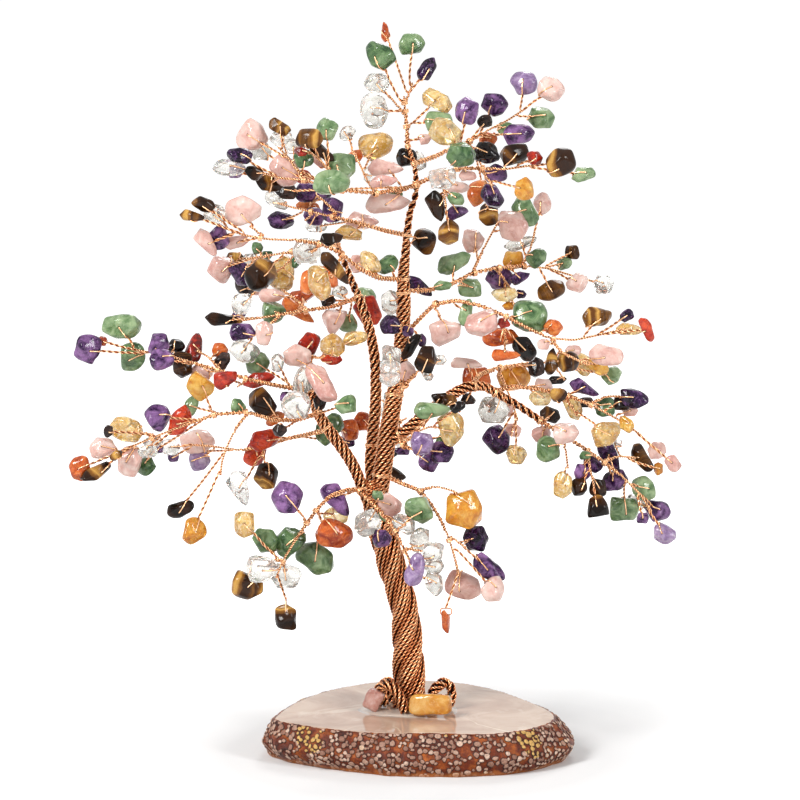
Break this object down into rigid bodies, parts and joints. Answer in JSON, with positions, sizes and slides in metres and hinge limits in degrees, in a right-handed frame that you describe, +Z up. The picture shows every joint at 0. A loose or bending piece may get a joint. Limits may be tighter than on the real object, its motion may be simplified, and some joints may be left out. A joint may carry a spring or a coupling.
{
  "type": "gemstone tree ornament",
  "caption": "Ornamental tree of tumbled stone chips on twisted copper wire branches, with a rope-like wire trunk glued to a polished agate slice.",
  "frame": {"origin": "centre of the underside of the agate slice, on the surface that the ornament stands on", "axes": "+Z up the tree, +X to the right and -Y towards the viewer of the front"},
  "size_m": [0.2184, 0.1184, 0.2645],
  "materials": {
    "agate_top": "polished",
    "clear_glue": "glossy",
    "copper_wire": "polished",
    "amethyst": "polished",
    "pale_amethyst": "polished",
    "rose_quartz": "polished",
    "clear_quartz": "polished",
    "citrine": "polished",
    "amber_citrine": "polished",
    "aventurine": "polished",
    "tigers_eye": "polished",
    "red_jasper": "polished",
    "carnelian": "polished",
    "smoky_quartz": "polished"
  },
  "bodies": {
    "tree": {"agate_base": "agate_top", "amber_citrine_chips": "amber_citrine", "amethyst_chips_left": "amethyst", "amethyst_chips_right": "amethyst", "amethyst_chips_upper": "amethyst", "aventurine_chips_left": "aventurine", "aventurine_chips_right": "aventurine", "aventurine_chips_upper": "aventurine", "back_left_branch": "copper_wire", "back_trunk_spray": "copper_wire", "carnelian_chips": "carnelian", "centre_front_spray": "copper_wire", "citrine_chips": "citrine", "citrine_foot_chip": "citrine", "clear_quartz_chips_left": "clear_quartz", "clear_quartz_chips_right": "clear_quartz", "clear_quartz_chips_upper": "clear_quartz", "crotch_spray": "copper_wire", "crown_spray": "copper_wire", "front_spray": "copper_wire", "glue_pad": "clear_glue", "hanging_left_spray": "copper_wire", "hanging_right_spray": "copper_wire", "leader": "copper_wire", "left_back_branch": "copper_wire", "left_bough": "copper_wire", "left_front_branch": "copper_wire", "left_middle_branch": "copper_wire", "left_shoulder_branch": "copper_wire", "left_tip_branch": "copper_wire", "low_left_back_branch": "copper_wire", "low_left_branch": "copper_wire", "middle_bough": "copper_wire", "pale_amethyst_chips": "pale_amethyst", "red_jasper_chips": "red_jasper", "right_back_branch": "copper_wire", "right_bough": "copper_wire", "right_bough_tip": "copper_wire", "right_lower_branch": "copper_wire", "right_middle_branch": "copper_wire", "right_upper_branch": "copper_wire", "root_back_left": "copper_wire", "root_front_left": "copper_wire", "root_right": "copper_wire", "rose_quartz_chips_left": "rose_quartz", "rose_quartz_chips_right": "rose_quartz", "rose_quartz_chips_upper": "rose_quartz", "rose_quartz_foot_chip": "rose_quartz", "smoky_quartz_chips": "smoky_quartz", "tigers_eye_chips_left": "tigers_eye", "tigers_eye_chips_right": "tigers_eye", "tigers_eye_chips_upper": "tigers_eye", "trunk": "copper_wire", "upper_left_branch": "copper_wire", "upper_right_back_spray": "copper_wire", "upper_right_branch": "copper_wire"},
    "carnelian_drop": {"carnelian_drop": "carnelian"},
    "tigers_eye_drop": {"tigers_eye_drop": "tigers_eye"}
  },
  "joints": [
    {"name": "carnelian_swing", "type": "hinge", "parent": "tree", "child": "carnelian_drop", "pos_m": [0.00987, -0.02016, 0.055], "axis": [1, 0, 0], "range_deg": [-35, 35]},
    {"name": "tigers_eye_swing", "type": "hinge", "parent": "tree", "child": "tigers_eye_drop", "pos_m": [-0.04699, -0.03024, 0.05858], "axis": [0, 1, 0], "range_deg": [-35, 35]}
  ]
}
